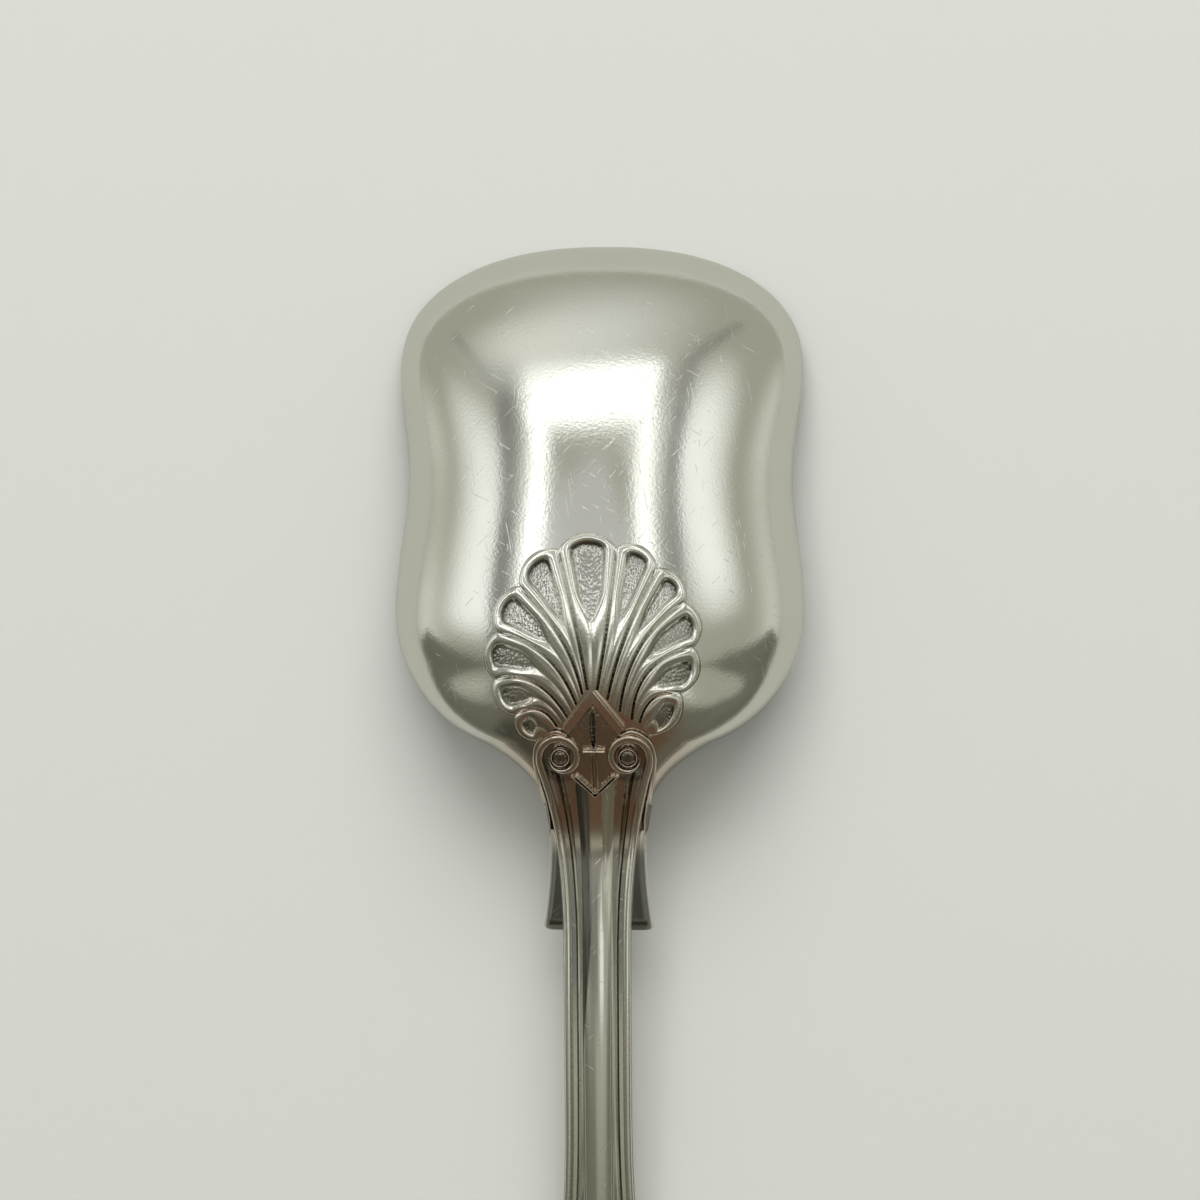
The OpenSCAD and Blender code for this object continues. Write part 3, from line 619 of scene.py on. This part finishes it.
# Heel scallop: eleven lobes struck in plated sheet and soldered on the bowl, with bright rounded
# rims and pounced floors, which narrow to bent flutes that meet under the hood. No two lobes are
# quite alike. Each line between two lobes runs from its root over its bend to its notch.
lobe_notch = np.array([
    [-5.61, 48.4], [-7.5, 45.92], [-9.41, 42.5], [-9.12, 38.04], [-6.94, 33.57], [-3.23, 30.06],
    [2.28, 29.87], [6.18, 31.86], [8.84, 35.09], [9.6, 39.37], [8.36, 43.74], [5.89, 47.73]])
lobe_bend = np.array([
    [-5.3, 48.3], [-4.99, 44.07], [-5.27, 41.08], [-3.66, 38.8], [-1.95, 38.08], [-1.19, 37.8],
    [1.66, 37.32], [2.85, 37.75], [3.61, 38.04], [4.18, 40.27], [5.37, 43.07], [5.6, 47.8]])
lobe_root = np.array([
    [-5.04, 48.2], [-3.42, 46.97], [-2.38, 46.11], [-1.52, 44.88], [-0.95, 43.93], [-0.48, 43.45],
    [0.48, 43.45], [1.43, 44.4], [2.57, 45.54], [3.71, 46.3], [4.47, 46.59], [5.42, 47.92]])
lobes = len(lobe_notch) - 1
lobe_bulge, lobe_h, rim_w, rim_h = 0.27, 0.58, 0.78, 0.16


def lobe_line(table, c):
    return np.stack([np.interp(c, np.arange(lobes + 1), table[:, i]) for i in (0, 1)], -1)


def fan_point(c, b):
    """A place on the scallop: c counts the lobes from the left, b goes from root to edge."""
    k = np.minimum(lobes - 1, np.floor(c)).astype(int)
    t = (c - k)[:, None]
    chord = lobe_notch[k + 1] - lobe_notch[k]
    out = np.stack([chord[:, 1], -chord[:, 0]], -1)
    edge = lobe_notch[k] + chord * t + out * lobe_bulge * np.sin(np.pi * t) ** 0.7
    b = b[:, None]
    return lobe_line(lobe_root, c) * (1 - b) ** 2 + lobe_line(lobe_bend, c) * 2 * b * (1 - b) + edge * b * b


def fan_relief(across, down):
    """Place, height over the bowl and how dark it is painted with tarnish and painted shade, over the whole
    scallop.
    """
    c0 = across * lobes
    k = np.minimum(lobes - 1, np.floor(c0 + 1e-9))
    t0 = c0 - k
    t = np.clip(t0 - 0.1 * np.sin(2 * np.pi * t0), 0, 1)
    b = 1 - down ** 1.5
    p = fan_point(k + t, b)
    left, right = fan_point(k + 1e-6, b), fan_point(k + 1 - 1e-6, b)
    edge = fan_point(k + t, np.ones_like(b))
    width = np.linalg.norm(right - left, axis=1)
    side = width * np.minimum(t, 1 - t)
    out = np.linalg.norm(edge - p, axis=1)
    # The distance to the nearer edge, with the corner between the two rounded
    near = np.maximum(0, -0.2 * np.log(np.exp(-side / 0.2) + np.exp(-out / 0.2)))
    # The rim is broadest round the end and takes up the whole lobe where the panel ends
    rim = np.minimum(mix(rim_w, 0.55, ease((1 - b) / 0.5)), 0.36 * width)
    rim = mix(rim, 0.5 * width + 0.1, ease((0.72 - b) / 0.4))
    crest = lobe_h * (1 - rim_h * (2 * np.minimum(near / rim, 1) - 1) ** 2)
    groove = np.exp(-(side / 0.1) ** 2) * 0.3 * ease((out - 0.1) / 1.5)
    rise = np.sin(np.pi / 2 * np.clip(out / 0.2, 0, 1))
    sink = ease((near - rim) / 0.34)
    floor = mix(0.02, 0.5, np.clip((0.93 - b) / 0.5, 0, 1) ** 1.1)
    height = np.maximum(0, mix(crest - groove, floor, sink)) * rise
    foot = np.exp(-(out / 0.08) ** 2)
    # Tarnish and painted shade lie darkest at the panel's outer end, in the grooves and at the foot
    shade = sink * (0.35 + 0.65 * np.exp(-np.maximum(0, out - rim - 0.2) / 0.4))
    deep = np.clip(shade + 1.6 * groove * ease((0.75 - b) / 0.5) + 0.7 * groove + 0.8 * foot, 0, 1)
    return p, height, deep


def fan_upper(across, down):
    p, height, _ = fan_relief(across, down)
    return place(p[:, 0], p[:, 1], back_z(p[:, 0], p[:, 1]) + solder + height)


def fan_lower(across, down):
    p, _, _ = fan_relief(across, down)
    return place(p[:, 0], p[:, 1], back_z(p[:, 0], p[:, 1]) - 0.2)


scallop = closed_piece("heel_scallop_relief", 36 * lobes, 80, fan_upper, fan_lower, sharp=60,
                       shade_and_tarnish_mask=lambda a, d: fan_relief(a, d)[2])
scallop.data.materials.append(struck)
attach(scallop, "root")
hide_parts("heel_scallop")

# End scallop: a small one of the same plated sheet, soldered on the handle's end, with seven
# lobes that open towards the end.
end_lobes, end_fan_at, end_reach, end_bearing = 7, 138.0, 6.6, np.radians(92)
end_rim_w, end_rim_h = 0.35, 0.25


def end_point(across, down, lift):
    c = across * end_lobes
    t = c - np.floor(c)
    angle = mix(end_bearing, -end_bearing, across)
    b = 1 - down
    reach = (1 - 0.1 * (1 - np.abs(np.sin(np.pi * t)) ** 0.75)) * mix(0.7, 1, np.cos(angle / 2))
    r = end_reach * mix(0.2, reach, b)
    x, s = r * np.sin(angle), end_fan_at + r * np.cos(angle)
    side = r * 2 * end_bearing / end_lobes * np.minimum(t, 1 - t)
    out = end_reach * reach - r
    near = np.minimum(side, out)
    rise = np.clip(near / 0.15, 0, 1)
    height = mix(0.35 + end_rim_h * rise, mix(0.4, 0.1, b), ease((near - end_rim_w) / 0.2))
    return place(x, s, stem_top(s) + solder + lift * height * np.clip(out / 0.08 + 0.4, 0, 1))


end_scallop = closed_piece("end_scallop_relief", 24 * end_lobes, 40,
                           lambda a, d: end_point(a, d, 1), lambda a, d: end_point(a, d, 0))
end_scallop.data.materials.append(struck)
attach(end_scallop, "root")
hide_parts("end_scallop")

# Table and studio: a pale matt table under a bright ceiling frame. A window stands on each side
# and a pale wall ahead of the tip, and the room behind the handle is dark.
bm = bmesh.new()
bmesh.ops.create_grid(bm, x_segments=1, y_segments=1, size=3.0)
table_top = made_object("table_top", bm)
# Matt paint, pale and even, that takes a soft shadow
table_paint, tree = blank_material("matt white table")
matt = add(tree, "ShaderNodeBsdfDiffuse", in_Color=linear("#DCDDD7"))
# Painted shadow: the metal sees the table a little darker, and more so behind the spoon, towards the dark
# room
dark_at, pale_at = -0.25, 0.02
table_place = add(tree, "ShaderNodeTexCoord")
split = add(tree, "ShaderNodeSeparateXYZ", [("Vector", table_place, "Object")])
near = add(tree, "ShaderNodeMapRange", [(0, split, "Y")], interpolation_type="SMOOTHSTEP",
           in_1=dark_at, in_2=pale_at, in_3=0.0, in_4=1.0)
shade = add(tree, "ShaderNodeMixRGB", [("Fac", near, 0)],
            in_Color1=linear("#4C4C42"), in_Color2=linear("#BCBCB4"))
dim = add(tree, "ShaderNodeBsdfDiffuse", [("Color", shade, 0)])
ray = add(tree, "ShaderNodeLightPath")
both = add(tree, "ShaderNodeMixShader", [(0, ray, "Is Glossy Ray"), (1, matt, 0), (2, dim, 0)])
add(tree, "ShaderNodeOutputMaterial", [("Surface", both, 0)])
table_top.data.materials.append(table_paint)

over_bowl, ceiling = 0.04, 1.0


def ceiling_lamp(name, x, y, across, ahead, level):
    """A flat lamp in the ceiling, its middle x and y from over the bowl. Its level is what a
    mirror shows of it."""
    lamp = bpy.data.lights.new(name, "AREA")
    lamp.shape = "RECTANGLE"
    lamp.size, lamp.size_y = across, ahead
    lamp.energy = level * np.pi * across * ahead
    lamp.color = linear("#FBFCFF")[:3]
    box = bpy.data.objects.new(name, lamp)
    box.location = (x, y + over_bowl, ceiling)
    bpy.context.scene.collection.objects.link(box)


ceiling_lamp("frame_top", -0.13, 0.86, 0.8, 0.4, 1.15)
ceiling_lamp("frame_left", -0.43, 0.3, 0.15, 0.8, 1.12)
ceiling_lamp("frame_right", 0.225, 0.32, 0.13, 0.76, 1.05)
ceiling_lamp("frame_near", -0.12, 0.03, 0.72, 0.12, 1.0)


def soft_card(name, across, ahead, width, height, level, colour, away=1.2, soft=(0.3, 0.3), flat=None):
    """A glowing or dark card that only reflections see, with edges that fade out. Across and
    ahead give its direction: together they are the tangent of half its angle from straight up,
    so 0 is overhead and 1 the horizon. It stands away metres off and faces the spoon, or else it
    lies flat that far up, turned by an angle."""
    bm = bmesh.new()
    bmesh.ops.create_grid(bm, x_segments=1, y_segments=1, size=0.5)
    r = across * across + ahead * ahead
    way = Vector((2 * across, 2 * ahead, 1 - r)) / (1 + r)
    turn = way.to_track_quat("Z", "Y").to_matrix()
    if flat is not None:
        way = Vector((2 * across, 2 * ahead, 1 - r)) / (1 - r)
        turn = Matrix.Rotation(np.radians(flat), 3, "Z")
    for v in bm.verts:
        v.co = way * away + turn @ Vector((v.co.x * width, v.co.y * height, 0))
    uv = bm.loops.layers.uv.new("card")
    for f in bm.faces:
        for loop, corner in zip(f.loops, ((0, 0), (1, 0), (1, 1), (0, 1))):
            loop[uv].uv = corner
    panel = made_object(name, bm)
    panel.visible_camera = panel.visible_shadow = panel.visible_diffuse = False
    mat, tree = blank_material(name)
    place_node = add(tree, "ShaderNodeUVMap", uv_map="card")
    parts = add(tree, "ShaderNodeSeparateXYZ", [("Vector", place_node, 0)])
    fades = []
    for axis in (0, 1):
        middle = add(tree, "ShaderNodeMath", [(0, parts, axis)], operation="SUBTRACT", in_1=0.5)
        off = add(tree, "ShaderNodeMath", [(0, middle, 0)], operation="ABSOLUTE")
        fades.append(add(tree, "ShaderNodeMapRange", [(0, off, 0)], interpolation_type="SMOOTHSTEP",
                         in_1=0.5, in_2=0.5 - soft[axis], in_3=0.0, in_4=1.0))
    fade = add(tree, "ShaderNodeMath", [(0, fades[0], 0), (1, fades[1], 0)], operation="MULTIPLY")
    glow = add(tree, "ShaderNodeEmission", in_Color=linear(colour), in_Strength=level)
    clear = add(tree, "ShaderNodeBsdfTransparent")
    both = add(tree, "ShaderNodeMixShader", [(0, fade, 0), (1, clear, 0), (2, glow, 0)])
    add(tree, "ShaderNodeOutputMaterial", [("Surface", both, 0)])
    panel.data.materials.append(mat)


# Windows and walls, the light falling past them, and the pane inside the ceiling frame
soft_card("window_left", -0.39, 0.1, 2.63, 3.0, 1.0, "#FDFEFA", away=3.0, soft=(0.35, 0.45))
soft_card("window_right", 0.31, 0.19, 2.9, 2.13, 1.0, "#FDFEFA", away=3.0, soft=(0.38, 0.45))
soft_card("horizon_left", -0.82, 0.0, 5.2, 4.8, 0.62, "#FFFFF4", away=6.0, soft=(0.4, 0.5))
soft_card("horizon_right", 0.82, -0.02, 6.8, 4.8, 0.58, "#FFFFF4", away=6.0, soft=(0.3, 0.5))
soft_card("wall_ahead", -0.02, 0.57, 1.6, 1.7, 0.58, "#FDFEF6", away=1.6, soft=(0.5, 0.5))
soft_card("glow_ahead", -0.17, 0.5, 1.55, 0.8, 0.74, "#FDFEF6", away=1.4, soft=(0.5, 0.5))
soft_card("beam_left", -0.3, 0.22, 0.28, 1.3, 0.2, "#FFFFFA", away=0.95, soft=(0.3, 0.1), flat=3)
soft_card("beam_right", 0.2, 0.22, 0.17, 1.3, 0.24, "#FFFFFA", away=0.95, soft=(0.3, 0.1), flat=-3)
soft_card("corner_left", -0.43, 0.47, 0.16, 1.9, 0.2, "#FFFFFA", away=0.95, soft=(0.4, 0.1), flat=44)
soft_card("corner_right", 0.32, 0.54, 0.16, 1.9, 0.18, "#FFFFFA", away=0.95, soft=(0.4, 0.1), flat=-40)
soft_card("frame_glass", -0.07, 0.12, 0.7, 0.6, 0.5, "#FFFFFC", away=1.3, soft=(0.1, 0.1))
# The dark room, its doorways and what stands in it
soft_card("room_behind", 0.0, -0.54, 14.0, 1.5, 0.14, "#F6F6DC", away=1.1, soft=(0.07, 0.15))
soft_card("glint_right", 0.154, -0.116, 0.33, 0.17, 0.85, "#FDFEFA", away=0.75, soft=(0.2, 0.3), flat=0)
soft_card("door_right", 0.67, -0.365, 3.6, 1.4, 0.16, "#F6F6DC", away=0.7, soft=(0.05, 0.12), flat=-11.4)
soft_card("door_left", -0.667, -0.321, 4.2, 1.4, 0.15, "#F6F6DC", away=0.7, soft=(0.05, 0.22), flat=6.4)
soft_card("coat_left", -0.24, -0.48, 0.35, 0.6, 0.07, "#F6F6DC", away=0.8, soft=(0.3, 0.3))
soft_card("coat_right", 0.26, -0.42, 0.35, 0.6, 0.15, "#F6F6DC", away=0.8, soft=(0.3, 0.3))
soft_card("sleeve", 0.0, -0.48, 0.45, 0.7, 0.17, "#DFB697", away=0.75, soft=(0.3, 0.25))
soft_card("camera_back", -0.198, -0.095, 0.62, 0.19, 0.06, "#F6FFFC", away=0.7, soft=(0.12, 0.25), flat=0)

# A broad lamp beyond the tip lights the table and draws the soft shadow. The metal doesn't see it
sky = bpy.data.lights.new("sky", "AREA")
sky.shape = "RECTANGLE"
sky_across, sky_up, sky_level = 1.2, 0.6, 5.4
sky.size, sky.size_y = sky_across, sky_up
sky.energy = sky_level * np.pi * sky_across * sky_up
lamp = bpy.data.objects.new("sky", sky)
lamp.location = (0.05, 1.0, 0.8)
lamp.rotation_euler = (-0.9, 0, 0)
lamp.visible_glossy = False
bpy.context.scene.collection.objects.link(lamp)

# The far walls: dim to the metal, a little brighter to the table, and paper white to the camera
world = bpy.data.worlds.new("studio")
bpy.context.scene.world = world
world.use_nodes = True
world.node_tree.nodes.clear()
walls = add(world.node_tree, "ShaderNodeBackground", in_Color=linear("#FAFAE8"), in_Strength=0.375)
fill = add(world.node_tree, "ShaderNodeBackground", in_Color=linear("#FBFBF6"), in_Strength=0.43)
paper = add(world.node_tree, "ShaderNodeBackground", in_Color=linear("#E4E5DE"), in_Strength=1.0)
path = add(world.node_tree, "ShaderNodeLightPath")
lit = add(world.node_tree, "ShaderNodeMixShader", [(0, path, "Is Diffuse Ray"), (1, walls, 0), (2, fill, 0)])
seen = add(world.node_tree, "ShaderNodeMixShader", [(0, path, "Is Camera Ray"), (1, lit, 0), (2, paper, 0)])
add(world.node_tree, "ShaderNodeOutputWorld", [("Surface", seen, 0)])

# Camera: 340 mm from the bowl, 4 degrees to the right of straight above it. The picture is
# 117.4 mm wide at that distance.
camera = bpy.data.objects.new("camera", bpy.data.cameras.new("camera"))
bpy.context.scene.collection.objects.link(camera)
tilt = np.radians(4.0)
distance, view_w, aim_at, aim_z = 340, 117.4, 34.9, 0.004
aim = Vector((0, (overall_len / 2 - aim_at) * MM, aim_z))
camera.location = aim + Vector((np.sin(tilt), 0, np.cos(tilt))) * distance * MM
camera.rotation_euler = (0, tilt, 0)
camera.data.sensor_width = 36.0
camera.data.lens = 36.0 * distance / view_w
camera.data.clip_start, camera.data.clip_end = 0.01, 20
bpy.context.scene.camera = camera
bpy.context.scene.view_settings.view_transform = "Standard"
